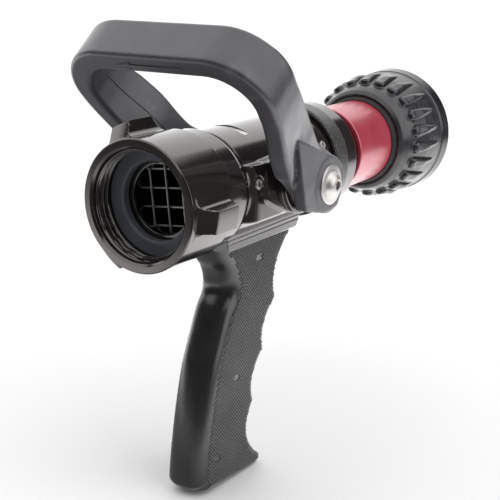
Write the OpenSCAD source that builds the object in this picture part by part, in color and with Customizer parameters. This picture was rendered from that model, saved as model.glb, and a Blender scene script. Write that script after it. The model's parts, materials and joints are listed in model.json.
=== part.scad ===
// Fire hose nozzle with pistol grip, bail-operated ball valve and twist-pattern tip.
// +X is the flow direction, +Z is up, and the origin is the centre of the inlet face.

/* [Swivel coupling] */
// Radius of the inlet thread, 1-1/2 in fire hose thread (mm)
thread_r = 25.25; // [25:0.05:25.5]
// Outer radius of the swivel coupling
swivel_r = 30; // [29:0.5:31]
// Length of the swivel coupling
swivel_len = 46; // [45:0.5:46]
// Radius over the rocker lugs
lug_r = 37; // [34:0.5:38]
// Angle of the first rocker lug from the top, towards the right side
lug_angle = -22; // [-60:1:60]

/* [Valve body] */
// Outer radius of the valve body
body_r = 26.7; // [26.5:0.1:27]
// Front end of the valve body
body_end = 131.5; // [130.5:0.5:131.5]
// Radius of the waterway
bore_r = 15.5; // [14.5:0.5:15.5]
// Radius of the valve ball
ball_r = 21.8; // [21.4:0.1:21.8]

/* [Bail handle] */
// Distance of the bail axis from the inlet face
hub_x = 89; // [88:0.5:90]
// Lean of the open bail towards the inlet, from upright (degrees)
bail_lean = 40; // [30:1:45]
// Distance from the bail axis to the outside of the cross bar
bail_reach = 101; // [95:1:110]
// Half width over the legs at the hub
hub_half = 46; // [45.5:0.5:47]
// Half width over the legs at the cross bar
bar_half = 53.8; // [51:0.2:55]
// Thickness of the cross bar and the legs
bail_t = 10.4; // [9.5:0.1:10.5]
// Radius of the bail's hub
hub_r = 14; // [13:0.5:15]

/* [Tip] */
// Outer radius of the flow ring
flow_ring_r = 29.6; // [29:0.1:30]
// Outer radius of the pattern sleeve
sleeve_r = 23.3; // [23.1:0.1:23.6]
// Largest radius of the rubber bumper
bumper_r = 37.3; // [37:0.1:38]
// Front end of the bumper, the nozzle's overall length
tip_end = 252.5; // [251.5:0.5:254]

/* [Pistol grip] */
// Half thickness of the grip
grip_half = 11.2; // [10.5:0.1:12]
// Depth of the grip's lowest point below the bore axis
grip_drop = 151; // [148:1:156]
// Half width of the grip saddle
saddle_half = 16; // [15:0.5:17]

/* [Hidden] */
$fn = 96;

// Rings and fits
run_gap = 0.05;
eps = 0.01;

// Swivel stations along X
thread_len = 13;
gasket_len = 4.5;
gasket_r = 25.6;
race_x = 30;
race_ball_r = 2;
race_balls = 26;
stub_r = 22.5;
swivel_seal_x = 41;
screen_x = 22.5;
screen_wire_r = 0.55;
screen_pitch = 8.7;
screen_turn = 6;
step_x = 31.5;
band_r = 28.5;

// Valve stations along X, measured from the inlet face
stub_start = thread_len + gasket_len + 0.3;
neck_r = 25.5;
cavity_r = 22.2;
cavity_start = hub_x - 21;
seat_len = 10;
seat_gap = 0.03;
boss_r = 16;
boss_half = 31.5;
web_half = 29;
trunnion_r = 6.5;
bushing_r = 8;
square_half = 4.5;
bolt_r = 3;
trunnion_seal_y = 26;
crescent_drop = 10;
crescent_half_angle = 28;
pad_x = [47.5, 61];
pad_z = [-14, 13];
pad_half = 28;
pad_round = 5;
screw_lock_x = 55;
screw_lock_z = 4;
lock_x = 121;
lock_angles = [63, -63];

// Tip stations along X
barrel_start = hub_x + 21;
barrel_r = 19.5;
barrel_end = 236;
flow_x = [127.8, 149.4];
flow_step_x = 138.4;
guide_r = 21;
guide_x = [150, 196];
sleeve_x = [165, 240];
stop_ring_r = 25.5;
bumper_x = 204.6;
cam_x = [206, 212];
detent_x = 134;
detent_r = 1.5;
cam_pin_x = 209;
cam_pin_r = 1.5;
cam_pin_top = 22.2;
spider_x = [142, 150];
stem_r = 4;
sleeve_seal_x = 226;
tooth_x = [242.2, 248];
tooth_count = 24;
slide_travel = 10;
bumper_lugs = 22;

// Grip and saddle
saddle_x = [47.5, 113];
saddle_z = [-29.5, -21.5];
tang_x = [72, 96];
tang_half = 4;
tang_bottom = -52;
grip_back_depth = 8.5;
pin_x = 82;
pin_z = -40;
saddle_screw_x = [57, 104];
saddle_screw_y = 8;

// ---------- helpers ----------

// A solid of revolution about X: points are [radius, x]
module turned(points) {
    rotate([0, 90, 0])
        rotate_extrude()
            polygon(points);
}

// A plain ring about X from x0 to x1
module ring(x0, x1, inner, outer) {
    turned([[inner, x0], [outer, x0], [outer, x1], [inner, x1]]);
}

// A solid rod about X from x0 to x1
module rod(x0, x1, r) {
    translate([x0, 0, 0])
        rotate([0, 90, 0])
            cylinder(h = x1 - x0, r = r);
}

// A torus about X, for seals and ball races
module torus_x(x, major, minor) {
    translate([x, 0, 0])
        rotate([0, 90, 0])
            rotate_extrude()
                translate([major, 0])
                    circle(r = minor, $fn = 24);
}

// A rod along Y on the bail axis, from y0 to y1 on the right or left side
module side_rod(side, y0, y1, r) {
    translate([hub_x, side * y0, 0])
        rotate([side * -90, 0, 0])
            cylinder(h = y1 - y0, r = r);
}

// Places children at the given angle from the top towards the right side
module at_angle(a) {
    rotate([a, 0, 0])
        children();
}

function arc(cx, cy, r, a0, a1, n) =
    [for (i = [0:n]) [cx + r * cos(a0 + (a1 - a0) * i / n), cy + r * sin(a0 + (a1 - a0) * i / n)]];

// ---------- swivel coupling ----------

// One rocker lug: a block with hollow flanks and sloping ends
module rocker_lug() {
    flank = 4;
    half = 5.5;
    intersection() {
        rotate([90, 0, 90])
            linear_extrude(height = 30)
                polygon(concat(
                    [[-(half + flank), 24]],
                    arc(-(half + flank), swivel_r + 2.6, flank, -90, 0, 6),
                    [[-half + 0.6, lug_r + 1], [half - 0.6, lug_r + 1]],
                    arc(half + flank, swivel_r + 2.6, flank, 180, 270, 6),
                    [[half + flank, 24]]));
        turned([[24, 3.4], [swivel_r + 0.2, 3.4], [lug_r - 0.3, 9.6], [lug_r, 10.2], [lug_r, 20],
                [lug_r - 0.5, 20.6], [swivel_r - 0.5, 26], [24, 26]]);
    }
}

module swivel_coupling() {
    color("#1d1c1c")
        difference() {
            union() {
                turned([[20, 0], [swivel_r - 1, 0], [swivel_r, 1], [swivel_r, step_x - 1],
                        [band_r, step_x + 0.5], [band_r, swivel_len - 2.5],
                        [band_r - 0.8, swivel_len], [20, swivel_len]]);
                for (i = [0:2])
                    at_angle(lug_angle + 120 * i)
                        rocker_lug();
            }
            rod(-1, thread_len, thread_r);
            rod(thread_len - eps, thread_len + gasket_len, gasket_r);
            rod(thread_len, swivel_len + 1, stub_r + run_gap);
            torus_x(race_x, stub_r, race_ball_r + run_gap);
            at_angle(38)
                translate([race_x, 0, stub_r + 1])
                    cylinder(h = 10, r = 2.5);
        }
}

module inlet_gasket() {
    color("#3c4048")
        turned([[bore_r + 2.5, thread_len + 0.6], [bore_r + 3.1, thread_len],
                [gasket_r - 0.1, thread_len], [gasket_r - 0.1, thread_len + gasket_len],
                [bore_r + 2.5, thread_len + gasket_len]]);
}

// Threaded plug that closes the ball-loading hole
module race_plug() {
    color("#8c8c8e")
        at_angle(38)
            translate([race_x, 0, stub_r + 2.6])
                difference() {
                    cylinder(h = 4.6, r = 2.5);
                    translate([0, 0, 2.6])
                        cylinder(h = 3, r = 1.2, $fn = 6);
                }
}

// ---------- valve body ----------

module body_shell() {
    rod(stub_start, swivel_len + 2, stub_r);
    rod(swivel_len + 0.4, 49, neck_r);
    turned([[0, 48.2], [body_r - 0.6, 48.2], [body_r, 48.8], [body_r, body_end - 0.5],
            [body_r - 0.5, body_end], [0, body_end]]);
    translate([0, 0, pad_z[0]])
        linear_extrude(height = pad_z[1] - pad_z[0])
            side_pads();
    rotate([90, 0, 0])
        linear_extrude(height = 2 * web_half, center = true)
            polygon([[pad_x[1] - 1, -4], [68, -9], [78, -13], [hub_x, -boss_r],
                     [hub_x, boss_r], [pad_x[1] - 1, pad_z[1]]]);
    for (side = [-1, 1])
        side_rod(side, 10, boss_half, boss_r);
}

// Plan of the screw pads on both sides, rounded at the back
module side_pads() {
    front = pad_x[0] + pad_round;
    translate([front, -pad_half])
        square([pad_x[1] - front, 2 * pad_half]);
    translate([pad_x[0], -pad_half + pad_round])
        square([pad_round + 1, 2 * (pad_half - pad_round)]);
    for (side = [-1, 1])
        translate([front, side * (pad_half - pad_round)])
            circle(r = pad_round);
}

// Shallow crescent cut across the top, deepest in the middle
module top_crescent() {
    cut_r = sqrt(pow(body_r, 2) + pow(crescent_drop, 2)
                 + 2 * body_r * crescent_drop * cos(crescent_half_angle));
    difference() {
        rod(66.2, 68.4, body_r + 8);
        translate([0, 0, -crescent_drop])
            rod(60, 75, cut_r);
    }
}

module valve_body() {
    color("#201f1f")
        difference() {
            body_shell();
            rod(0, hub_x, bore_r);
            rod(cavity_start, body_end + 1, cavity_r);
            torus_x(race_x, stub_r, race_ball_r + run_gap);
            torus_x(swivel_seal_x, stub_r, 1.3);
            screen_wires(screen_wire_r + 0.02, 1.2);
            for (side = [-1, 1])
                side_rod(side, 12, boss_half + 1, bushing_r);
            intersection() {
                top_crescent();
                translate([60, -20, 20])
                    cube([15, 40, 20]);
            }
            translate([screw_lock_x, -pad_half - 1, screw_lock_z])
                rotate([-90, 0, 0])
                    cylinder(h = 9, r = 2.5);
            for (a = lock_angles)
                at_angle(a)
                    translate([lock_x, 0, 19])
                        cylinder(h = 12, r = 2);
            for (x = saddle_screw_x, y = [-1, 1])
                translate([x, y * saddle_screw_y, -30])
                    cylinder(h = 8, r = 2);
        }
}

// Three upright and four level wires across the inlet bore, their ends let into its wall
module screen_wires(r, reach) {
    at_angle(-screen_turn) {
        for (k = [-1:1]) {
            half = sqrt(pow(bore_r, 2) - pow(k * screen_pitch, 2)) + reach;
            translate([screen_x, k * screen_pitch, -half])
                cylinder(h = 2 * half, r = r);
        }
        for (k = [-1.5:1:1.5]) {
            half = sqrt(pow(bore_r, 2) - pow(k * screen_pitch, 2)) + reach;
            translate([screen_x + 2 * screen_wire_r, half, k * screen_pitch])
                rotate([90, 0, 0])
                    cylinder(h = 2 * half, r = r);
        }
    }
}

module debris_screen() {
    color("#c9c7c2")
        screen_wires(screen_wire_r - 0.01, 1);
}

module bearing_balls() {
    color("#c9c7c2")
        for (i = [0:race_balls - 1])
            at_angle(i * 360 / race_balls)
                translate([race_x, 0, stub_r])
                    sphere(r = race_ball_r, $fn = 32);
}

module swivel_oring() {
    color("#262626")
        intersection() {
            torus_x(swivel_seal_x, stub_r, 1.3);
            ring(swivel_seal_x - 3, swivel_seal_x + 3, 10, stub_r);
        }
}

// A seat ring hollowed to the ball; turned round for the front seat
module seat_ring() {
    difference() {
        rod(cavity_start + 1, cavity_start + seat_len, cavity_r);
        rod(cavity_start - 1, hub_x, bore_r);
        translate([hub_x, 0, 0])
            sphere(r = ball_r + seat_gap);
    }
}

module rear_seat() {
    color("#e6e2d6")
        seat_ring();
}

module rear_seat_spring() {
    color("#a9a9a6")
        ring(cavity_start, cavity_start + 1, bore_r + 2, cavity_r - 0.5);
}

module front_seat() {
    color("#e6e2d6")
        translate([2 * hub_x, 0, 0])
            rotate([0, 0, 180])
                seat_ring();
}

module front_seat_oring() {
    color("#262626")
        ring(barrel_start - 1, barrel_start, bore_r + 2, bore_r + 5);
}

module trunnion_bushings() {
    color("#d8d2bd")
        for (side = [-1, 1])
            difference() {
                side_rod(side, ball_r + 0.4, boss_half, bushing_r);
                side_rod(side, 10, boss_half + 1, trunnion_r + run_gap);
                trunnion_seal(side);
            }
}

// A seal ring round the trunnion
module trunnion_seal(side) {
    translate([hub_x, side * trunnion_seal_y, 0])
        rotate([90, 0, 0])
            rotate_extrude()
                translate([trunnion_r, 0])
                    circle(r = 0.9, $fn = 24);
}

module trunnion_orings() {
    color("#262626")
        for (side = [-1, 1])
            intersection() {
                trunnion_seal(side);
                difference() {
                    side_rod(side, 20, 30, bushing_r);
                    side_rod(side, 19, 31, trunnion_r + run_gap);
                }
            }
}

module seat_lock_screw() {
    color("#c9c7c2")
        translate([screw_lock_x, -pad_half, screw_lock_z])
            rotate([-90, 0, 0])
                difference() {
                    union() {
                        cylinder(h = 7, r = 2.5);
                        translate([0, 0, -0.6])
                            cylinder(h = 0.6, r = 2.3);
                    }
                    translate([0, 0, -1])
                        cylinder(h = 3, r = 1.3, $fn = 6);
                }
}

module barrel_lock_screws() {
    color("#c9c7c2")
        for (a = lock_angles)
            at_angle(a)
                translate([lock_x, 0, cavity_r + 0.05])
                    difference() {
                        cylinder(h = body_r - cavity_r + 0.5, r = 2);
                        translate([0, 0, 3])
                            cylinder(h = 4, r = 1, $fn = 6);
                    }
}

// ---------- barrel and stem ----------

module front_barrel() {
    color("#2a2928")
        difference() {
            turned([[bore_r, barrel_start], [cavity_r, barrel_start], [cavity_r, body_end],
                    [barrel_r, body_end], [barrel_r, barrel_end], [17.5, barrel_end],
                    [bore_r, barrel_end - 18]]);
            ring(spider_x[0], spider_x[1], 10, bore_r + 1.2);
            torus_x(body_end - 8, cavity_r, 1.2);
            at_angle(20)
                translate([detent_x, 0, bore_r + 0.8])
                    cylinder(h = 6, r = detent_r + run_gap);
        }
}

module barrel_oring() {
    color("#262626")
        intersection() {
            torus_x(body_end - 8, cavity_r, 1.2);
            ring(body_end - 12, body_end - 4, 10, cavity_r);
        }
}

module guide_sleeve() {
    color("#6f1222")
        turned([[barrel_r, guide_x[0]], [guide_r - 0.4, guide_x[0]], [guide_r, guide_x[0] + 0.4],
                [guide_r, guide_x[1]], [barrel_r, guide_x[1]]]);
}

// Three-armed web that holds the stem in the barrel
module stem_spider() {
    color("#8f8f8d")
        union() {
            ring(spider_x[0], spider_x[1], bore_r - 0.8, bore_r + 1.2);
            ring(spider_x[0], spider_x[1], stem_r, stem_r + 2.5);
            for (i = [0:2])
                at_angle(60 + 120 * i)
                    translate([spider_x[0], -1.2, stem_r + 1.5])
                        cube([spider_x[1] - spider_x[0], 2.4, bore_r - stem_r - 1.8]);
        }
}

module stem() {
    color("#b9b8b4")
        turned([[0, spider_x[0] - 5], [2.5, spider_x[0] - 5], [stem_r, spider_x[0] - 2],
                [stem_r, barrel_end + 1], [2.5, barrel_end + 1], [2.5, 246], [0, 246]]);
}

module baffle_head() {
    color("#9a9996")
        turned([[2.5, barrel_end + 1], [6.5, barrel_end + 1], [14.6, 240.5], [14.6, 242],
                [13.4, 243], [2.5, 243]]);
}

module baffle_nut() {
    color("#c9c7c2")
        difference() {
            translate([243, 0, 0])
                rotate([0, 90, 0])
                    cylinder(h = 2.6, r = 4.8, $fn = 6);
            rod(242, 247, 2.5);
        }
}

// ---------- pistol grip ----------

module grip_saddle() {
    groove_r = 0.7;
    color("#5c5c5e")
        difference() {
            union() {
                rotate([90, 0, 90])
                    translate([0, 0, saddle_x[0]])
                        linear_extrude(height = saddle_x[1] - saddle_x[0])
                            polygon([[-saddle_half, saddle_z[0] + 1], [-saddle_half + 1, saddle_z[0]],
                                     [saddle_half - 1, saddle_z[0]], [saddle_half, saddle_z[0] + 1],
                                     [saddle_half, saddle_z[1]], [-saddle_half, saddle_z[1]]]);
                translate([tang_x[0], -tang_half, tang_bottom])
                    cube([tang_x[1] - tang_x[0], 2 * tang_half, saddle_z[0] - tang_bottom + 1]);
            }
            rod(0, 200, body_r);
            for (side = [-1, 1], z = [saddle_z[1] - 1.6, saddle_z[1] - 3.6])
                translate([saddle_x[0] - 1, side * (saddle_half + 0.3), z])
                    rotate([0, 90, 0])
                        cylinder(h = saddle_x[1], r = groove_r, $fn = 16);
            for (x = saddle_screw_x, y = [-1, 1])
                translate([x, y * saddle_screw_y, -40])
                    union() {
                        cylinder(h = 20, r = 2.2);
                        cylinder(h = 40 + saddle_z[0] + 1.6, r = 4);
                    }
            translate([saddle_x[1] + 1.2, 0, saddle_z[0]])
                rotate([0, 45, 0])
                    cube([5, 50, 5], center = true);
            translate([pin_x, 0, pin_z])
                rotate([90, 0, 0])
                    cylinder(h = 20, r = 3, center = true);
        }
}

module saddle_screws() {
    color("#8c8c8e")
        for (x = saddle_screw_x, y = [-1, 1])
            translate([x, y * saddle_screw_y, saddle_z[0] + 0.1])
                difference() {
                    union() {
                        cylinder(h = 1.5, r = 3.8);
                        cylinder(h = 7.2, r = 2);
                    }
                    translate([0, 0, -1])
                        cylinder(h = 2, r = 1.5, $fn = 6);
                }
}

// Rounded hollow between two finger ridges, as points from a to b, bulging towards -X
function finger(a, b, depth) =
    [for (i = [0:8]) [a[0] + (b[0] - a[0]) * i / 8 - depth * sin(180 * i / 8),
                      a[1] + (b[1] - a[1]) * i / 8]];

front_top = [111, saddle_z[0]];
ridge_1 = [98.4, -64.6];
ridge_2 = [87, -89.2];
ridge_3 = [78, -114.4];
toe = [83.5, -146];

// Side outline of the grip; back_shift moves the back edge towards +X, which rounds the back in steps
function grip_outline(back_shift) = concat(
    [[50 + back_shift, saddle_z[0]]],
    [front_top, [110.8, -33.5]],
    finger([110.8, -33.5], ridge_1, 6.2),
    finger(ridge_1, ridge_2, 5.2),
    finger(ridge_2, ridge_3, 5.2),
    finger(ridge_3, toe, 7.5),
    [[84, -148.5], [81.5, -grip_drop], [77, -grip_drop]],
    [[31.5 + back_shift, 3.5 - grip_drop], [30 + back_shift, 9 - grip_drop],
     [31.5 + back_shift, -125], [36 + back_shift, -105], [41 + back_shift, -87],
     [46.5 + back_shift, -74], [53 + back_shift, -61], [57.5 + back_shift, -54],
     [58.5 + back_shift, -48], [57 + back_shift, -42], [53.5 + back_shift, -36]]);

module grip_slab(half, back_shift) {
    rotate([90, 0, 0])
        linear_extrude(height = 2 * half, center = true)
            polygon(grip_outline(back_shift));
}

module pistol_grip() {
    color("#39393a")
        difference() {
            union() {
                for (a = [15:15:90])
                    grip_slab(grip_half * sin(a), grip_back_depth * (1 - cos(a)));
            }
            translate([tang_x[0] - 0.2, -tang_half - 0.2, tang_bottom - 1])
                cube([tang_x[1] - tang_x[0] + 0.4, 2 * tang_half + 0.4, 40]);
            translate([pin_x, 0, pin_z])
                rotate([90, 0, 0])
                    cylinder(h = 2 * grip_half - 3, r = 3, center = true);
            for (x = saddle_screw_x, y = [-1, 1])
                translate([x, y * saddle_screw_y, saddle_z[0] - 1])
                    cylinder(h = 2, r = 4.2);
        }
}

module grip_cross_pin() {
    color("#b9b8b4")
        translate([pin_x, 0, pin_z])
            rotate([90, 0, 0])
                cylinder(h = 2 * grip_half - 3, r = 3, center = true);
}

// ---------- bail ----------

// Turns bail coordinates (distance s up the legs, offset m across them) into [x, z] at rest
function bail_xz(s, m) =
    [hub_x - s * sin(bail_lean) + m * cos(bail_lean), s * cos(bail_lean) + m * sin(bail_lean)];

// The bail seen from the side: legs, cross bar and tail
module bail_side() {
    polygon([bail_xz(bail_reach + 2, -19.7), bail_xz(74, -20), bail_xz(40, -20), bail_xz(28, -21.5),
             bail_xz(17, -23.5), bail_xz(8.5, -24.5), bail_xz(4, -20), bail_xz(-6, -12.5),
             bail_xz(0, 0), bail_xz(9.5, 10), bail_xz(18, 6.6), bail_xz(30, 4.4), bail_xz(44, 3.8),
             bail_xz(56, 1.6), bail_xz(68, -0.4), bail_xz(bail_reach + 2, -0.4)]);
}

// The bail seen along its lean: outer and inner outlines of the U
module bail_front() {
    corner = 25.8;
    inner_corner = 15.9;
    inner_bar = bar_half - bail_t;
    inner_hub = hub_half - bail_t;
    top = bail_reach;
    polygon(concat(
        [[-hub_half, -30], [-hub_half, 0]],
        arc(-bar_half + corner, top - corner, corner, 180, 90, 14),
        arc(bar_half - corner, top - corner, corner, 90, 0, 14),
        [[hub_half, 0], [hub_half, -30], [inner_hub, -30], [inner_hub, 0]],
        arc(inner_bar - inner_corner, top - bail_t - inner_corner, inner_corner, 0, 90, 12),
        arc(-inner_bar + inner_corner, top - bail_t - inner_corner, inner_corner, 90, 180, 12),
        [[-inner_hub, 0], [-inner_hub, -30]]));
}

module bail_handle() {
    hub_in = boss_half + 1.5;
    color("#3b3c3d")
        difference() {
            union() {
                intersection() {
                    rotate([90, 0, 0])
                        linear_extrude(height = 120, center = true)
                            bail_side();
                    translate([hub_x, 0, 0])
                        rotate([0, -bail_lean, 0])
                            rotate([90, 0, 90])
                                linear_extrude(height = 100, center = true)
                                    bail_front();
                }
                for (side = [-1, 1])
                    side_rod(side, hub_in, hub_half, hub_r);
            }
            for (side = [-1, 1]) {
                translate([hub_x - square_half, min(side * 30, side * 41.9), -square_half])
                    cube([2 * square_half, 11.9, 2 * square_half]);
                side_rod(side, 40, 50, bolt_r);
                side_rod(side, hub_half, hub_half + 8, hub_r);
            }
        }
}

// The ball, bored through, with a slot for each trunnion
module valve_ball() {
    color("#d2d1cd")
        difference() {
            translate([hub_x, 0, 0])
                sphere(r = ball_r);
            rod(0, 200, bore_r - 0.5);
            for (side = [-1, 1])
                translate([hub_x - 5, side * 21 - 3, -2.5])
                    cube([10, 6, 5]);
        }
}

module trunnion_stems() {
    color("#a9a9a6")
        for (side = [-1, 1])
            difference() {
                union() {
                    side_rod(side, ball_r + 0.5, boss_half + 0.2, trunnion_r);
                    translate([hub_x - 5, min(side * 18.2, side * (ball_r + 1)), -2.5])
                        cube([10, ball_r + 1 - 18.2, 5]);
                    translate([hub_x - square_half, min(side * 30, side * 41.5), -square_half])
                        cube([2 * square_half, 11.5, 2 * square_half]);
                }
                side_rod(side, 31, 45, bolt_r);
            }
}

// Flanged button screws with a hexagon socket
module bail_bolts() {
    flange_r = 9.7;
    color("#c9c7c2")
        for (side = [-1, 1])
            difference() {
                union() {
                    side_rod(side, 31, hub_half, bolt_r);
                    side_rod(side, hub_half, hub_half + 1.3, flange_r);
                    intersection() {
                        side_rod(side, hub_half, hub_half + 4.6, 6.4);
                        translate([hub_x, side * (hub_half - 4), 0])
                            sphere(r = 8.9);
                    }
                }
                translate([hub_x, side * (hub_half + 5), 0])
                    rotate([side * 90, 0, 0])
                        cylinder(h = 3.4, r = 2.4, $fn = 6);
            }
}

module bail_washers() {
    color("#d8d2bd")
        for (side = [-1, 1])
            difference() {
                side_rod(side, boss_half + 0.1, boss_half + 1.5, 12);
                side_rod(side, boss_half - 1, boss_half + 3, trunnion_r + run_gap);
            }
}

// ---------- flow ring ----------

module flow_ring() {
    color("#363636")
        difference() {
            turned([[barrel_r + run_gap, flow_x[0]], [flow_ring_r - 0.8, flow_x[0]],
                    [flow_ring_r, flow_x[0] + 1], [flow_ring_r, flow_step_x], [26, flow_step_x],
                    [26, flow_x[1] - 1], [barrel_r + run_gap, flow_x[1] - 1]]);
            rod(flow_x[0] - 1, body_end + 0.5, body_r + 0.4);
            torus_x(detent_x, barrel_r, detent_r + run_gap);
        }
}

module flow_ring_band() {
    color("#191919")
        turned([[26, flow_step_x], [flow_ring_r - 0.9, flow_step_x], [flow_ring_r - 0.6, flow_step_x + 0.4],
                [flow_ring_r - 0.6, flow_x[1] - 0.8], [flow_ring_r - 1.4, flow_x[1]],
                [guide_r + 1, flow_x[1]], [guide_r + 1, flow_x[1] - 1], [26, flow_x[1] - 1]]);
}

module flow_detent_ball() {
    color("#c9c7c2")
        at_angle(20)
            translate([detent_x, 0, barrel_r])
                sphere(r = detent_r, $fn = 32);
}

module flow_detent_spring() {
    color("#a9a9a6")
        at_angle(20)
            translate([detent_x, 0, bore_r + 0.8])
                difference() {
                    cylinder(h = 1.6, r = detent_r - 0.1);
                    translate([0, 0, -1])
                        cylinder(h = 4, r = detent_r - 0.7);
                }
}

// ---------- pattern sleeve ----------

module cam_ring() {
    color("#d8d2bd")
        difference() {
            ring(cam_x[0], cam_x[1], barrel_r + run_gap, guide_r);
            for (a = [0, 180])
                at_angle(a)
                    translate([cam_pin_x, 0, 18])
                        cylinder(h = 6, r = cam_pin_r);
        }
}

// Drive pins that stand in the sleeve's keyways
module cam_pins() {
    color("#a9a9a6")
        for (a = [0, 180])
            at_angle(a)
                intersection() {
                    translate([cam_pin_x, 0, 18])
                        cylinder(h = cam_pin_top - 18, r = cam_pin_r);
                    ring(cam_x[0], cam_x[1], barrel_r + 0.3, cam_pin_top + 1);
                }
}

module pattern_sleeve() {
    color("#b01631")
        difference() {
            turned([[guide_r + run_gap, sleeve_x[0]], [sleeve_r - 0.5, sleeve_x[0]],
                    [sleeve_r, sleeve_x[0] + 0.5], [sleeve_r, tooth_x[0] - 0.2],
                    [22.4, tooth_x[0] - 0.2], [22.4, 249], [20.6, 249], [20.6, 232],
                    [guide_r + run_gap, 231.6]]);
            torus_x(sleeve_seal_x, guide_r + run_gap, 0.9);
            for (a = [0, 180])
                at_angle(a)
                    translate([cam_pin_x - cam_pin_r - 0.5, -cam_pin_r - 0.1, guide_r - 1])
                        cube([slide_travel + 2 * cam_pin_r + 1, 2 * cam_pin_r + 0.2,
                              cam_pin_top - guide_r + 1.1]);
        }
}

module sleeve_oring() {
    color("#262626")
        difference() {
            torus_x(sleeve_seal_x, guide_r + run_gap, 0.9);
            ring(sleeve_seal_x - 4, sleeve_seal_x + 4, 10, guide_r + run_gap);
        }
}

module bumper_stop_ring() {
    color("#2b2523")
        ring(202, 206.5, sleeve_r, stop_ring_r);
}

// One teardrop lug: a round head at the back and a tail running forward
module bumper_lug() {
    head_r = 3.4;
    intersection() {
        union() {
            translate([212, 0, 28])
                cylinder(h = 9.5, r = head_r, $fn = 24);
            translate([0, 0, 28])
                linear_extrude(height = 9.5)
                    polygon([[212, -head_r], [238, -0.6], [238, 0.6], [212, head_r]]);
        }
        turned([[26, 206], [33.4, 206], [35.8, 210], [36.4, 218], [36, 240], [26, 240]]);
    }
}

module rubber_bumper() {
    color("#2f3031")
        union() {
            turned([[sleeve_r, 206.5], [stop_ring_r, 206.5], [stop_ring_r, bumper_x],
                    [27.5, bumper_x], [30, 206], [32.2, 209.5], [33.6, 215], [34.6, 224],
                    [35.7, 243.8], [bumper_r, tip_end - 1.4], [bumper_r - 1.4, tip_end],
                    [29, tip_end], [27.2, tip_end - 2], [27.2, tooth_x[0] - 0.2],
                    [sleeve_r, tooth_x[0] - 0.2]]);
            for (i = [0:bumper_lugs - 1])
                at_angle(i * 360 / bumper_lugs)
                    bumper_lug();
        }
}

// Free-spinning ring whose teeth break the stream into fog
module tooth_ring() {
    color("#2c2c2c")
        union() {
            ring(tooth_x[0], tooth_x[1] - 1.6, 22.5, 26.8);
            for (i = [0:tooth_count - 1])
                at_angle(i * 360 / tooth_count)
                    translate([tooth_x[0], -1.1, 22.9])
                        cube([tooth_x[1] - tooth_x[0], 2.2, 3.4]);
        }
}

module tooth_ring_clip() {
    color("#c9c7c2")
        ring(248.1, 249, 22.4, 23.6);
}

swivel_coupling();
inlet_gasket();
race_plug();
valve_body();
debris_screen();
bearing_balls();
swivel_oring();
rear_seat();
rear_seat_spring();
front_seat();
front_seat_oring();
trunnion_bushings();
trunnion_orings();
seat_lock_screw();
barrel_lock_screws();
front_barrel();
barrel_oring();
guide_sleeve();
stem_spider();
stem();
baffle_head();
baffle_nut();
grip_saddle();
saddle_screws();
pistol_grip();
grip_cross_pin();
bail_handle();
valve_ball();
trunnion_stems();
bail_bolts();
bail_washers();
flow_ring();
flow_ring_band();
flow_detent_ball();
flow_detent_spring();
cam_ring();
cam_pins();
pattern_sleeve();
sleeve_oring();
bumper_stop_ring();
rubber_bumper();
tooth_ring();
tooth_ring_clip();
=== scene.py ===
import json
import math

import bpy
import numpy as np
from mathutils import Matrix, Vector


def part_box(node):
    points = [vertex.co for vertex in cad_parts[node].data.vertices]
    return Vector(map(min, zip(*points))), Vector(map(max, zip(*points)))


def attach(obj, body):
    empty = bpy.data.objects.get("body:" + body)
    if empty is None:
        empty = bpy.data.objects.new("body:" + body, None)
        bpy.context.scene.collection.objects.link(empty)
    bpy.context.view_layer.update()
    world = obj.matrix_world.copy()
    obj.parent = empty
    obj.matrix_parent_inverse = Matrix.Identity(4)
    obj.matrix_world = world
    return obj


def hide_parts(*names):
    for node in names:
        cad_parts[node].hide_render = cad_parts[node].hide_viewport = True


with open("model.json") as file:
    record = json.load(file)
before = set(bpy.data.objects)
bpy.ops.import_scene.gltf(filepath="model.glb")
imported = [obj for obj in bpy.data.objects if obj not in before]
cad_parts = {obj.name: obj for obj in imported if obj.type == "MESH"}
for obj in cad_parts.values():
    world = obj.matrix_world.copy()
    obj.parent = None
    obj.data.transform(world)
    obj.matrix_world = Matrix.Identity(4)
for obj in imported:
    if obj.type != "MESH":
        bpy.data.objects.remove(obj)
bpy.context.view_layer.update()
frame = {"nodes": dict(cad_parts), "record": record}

MM = 0.001


def share(value):
    """A value kept between 0 and 1."""
    return np.clip(value, 0, 1)


def ease(value):
    """A smooth step from 0 to 1."""
    t = share(value)
    return t * t * (3 - 2 * t)


def low(node):
    """Lowest corner of a CAD node, in mm."""
    return np.array(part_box(node)[0]) / MM


def high(node):
    """Highest corner of a CAD node, in mm."""
    return np.array(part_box(node)[1]) / MM


# ---- stations, mm, from the CAD nodes
SWIVEL_END = high("swivel_coupling")[0]
THREAD_R = 25.25
THREAD_PITCH, THREAD_HEIGHT = 25.4 / 9, 1.3
THREAD_DEPTH = low("inlet_gasket")[0]
BORE_R = 15.5
BODY_R = 26.7
BODY_END = high("valve_body")[0]
HUB_X = (low("bail_bolts")[0] + high("bail_bolts")[0]) / 2
BOSS_Y = high("valve_body")[1]
BAR_HALF = high("bail_handle")[1]
FLOW_X0, FLOW_X1 = low("flow_ring")[0], high("flow_ring_band")[0]
FLOW_STEP = low("flow_ring_band")[0]
FLOW_R = high("flow_ring")[2]
SLEEVE_X0 = low("pattern_sleeve")[0]
SLEEVE_R = high("pattern_sleeve")[2]
STOP_X0, STOP_R = low("bumper_stop_ring")[0], high("bumper_stop_ring")[2]
BUMPER_R = 37.3
TIP_X = high("rubber_bumper")[0]
SADDLE_X0, SADDLE_X1 = low("grip_saddle")[0], high("grip_saddle")[0]
SADDLE_HALF = high("grip_saddle")[1]
GRIP_HALF = high("pistol_grip")[1]
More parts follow.
